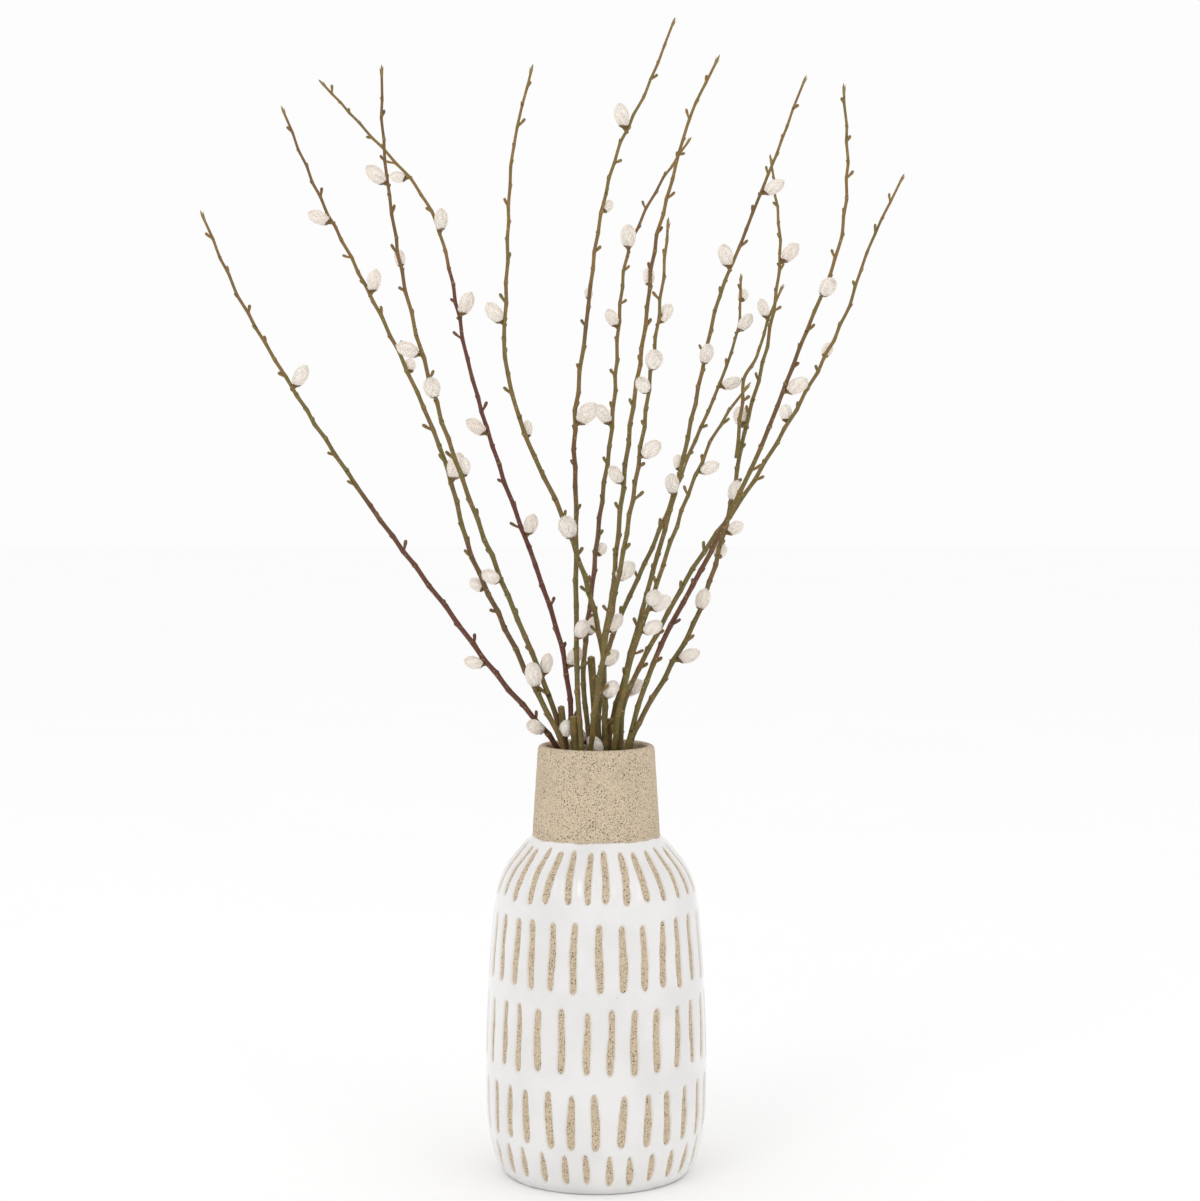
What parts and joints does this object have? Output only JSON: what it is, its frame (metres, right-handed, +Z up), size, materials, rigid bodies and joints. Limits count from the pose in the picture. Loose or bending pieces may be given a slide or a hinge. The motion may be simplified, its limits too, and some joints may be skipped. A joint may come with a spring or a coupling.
{
  "type": "pussy willow stems in a vase",
  "caption": "Pussy willow stems with furry pale catkins, fanned out from a tall hollow stoneware vase with a bare neck and a white dashed glaze.",
  "frame": {"origin": "centre of the vase's flat underside, which rests on the table", "axes": "+Z up along the vase's axis, +X to the right seen from the front, the front faces -Y"},
  "size_m": [0.4738, 0.2908, 0.7992],
  "materials": {
    "white_glaze": "gloss",
    "bare_clay": "matte",
    "olive_bark": "matte",
    "tan_bark": "matte",
    "red_bark": "matte",
    "catkin_down": "matte"
  },
  "bodies": {
    "root": {"catkin_a1": "catkin_down", "catkin_a2": "catkin_down", "catkin_b1": "catkin_down", "catkin_b2": "catkin_down", "catkin_b3": "catkin_down", "catkin_b4": "catkin_down", "catkin_c1": "catkin_down", "catkin_c2": "catkin_down", "catkin_c3": "catkin_down", "catkin_d1": "catkin_down", "catkin_d2": "catkin_down", "catkin_d3": "catkin_down", "catkin_e1": "catkin_down", "catkin_e2": "catkin_down", "catkin_f1": "catkin_down", "catkin_f2": "catkin_down", "catkin_g1": "catkin_down", "catkin_g2": "catkin_down", "catkin_h1": "catkin_down", "catkin_h2": "catkin_down", "catkin_h3": "catkin_down", "catkin_i1": "catkin_down", "catkin_i2": "catkin_down", "catkin_j1": "catkin_down", "catkin_j2": "catkin_down", "catkin_j3": "catkin_down", "catkin_j4": "catkin_down", "catkin_j5": "catkin_down", "catkin_k1": "catkin_down", "catkin_k2": "catkin_down", "catkin_m1": "catkin_down", "catkin_m2": "catkin_down", "catkin_m3": "catkin_down", "catkin_m4": "catkin_down", "catkin_m5": "catkin_down", "catkin_o1": "catkin_down", "rod_1": "olive_bark", "rod_2": "olive_bark", "rod_3": "olive_bark", "rod_4": "olive_bark", "rod_5": "olive_bark", "shoot_a": "red_bark", "shoot_b": "olive_bark", "shoot_c": "olive_bark", "shoot_d": "red_bark", "shoot_e": "olive_bark", "shoot_f": "red_bark", "shoot_g": "olive_bark", "shoot_h": "olive_bark", "shoot_i": "tan_bark", "shoot_j": "tan_bark", "shoot_k": "tan_bark", "shoot_l": "olive_bark", "shoot_m": "olive_bark", "shoot_n": "olive_bark", "shoot_o": "tan_bark", "shoot_p": "tan_bark", "vase_body": "white_glaze", "vase_neck": "bare_clay"}
  },
  "joints": []
}
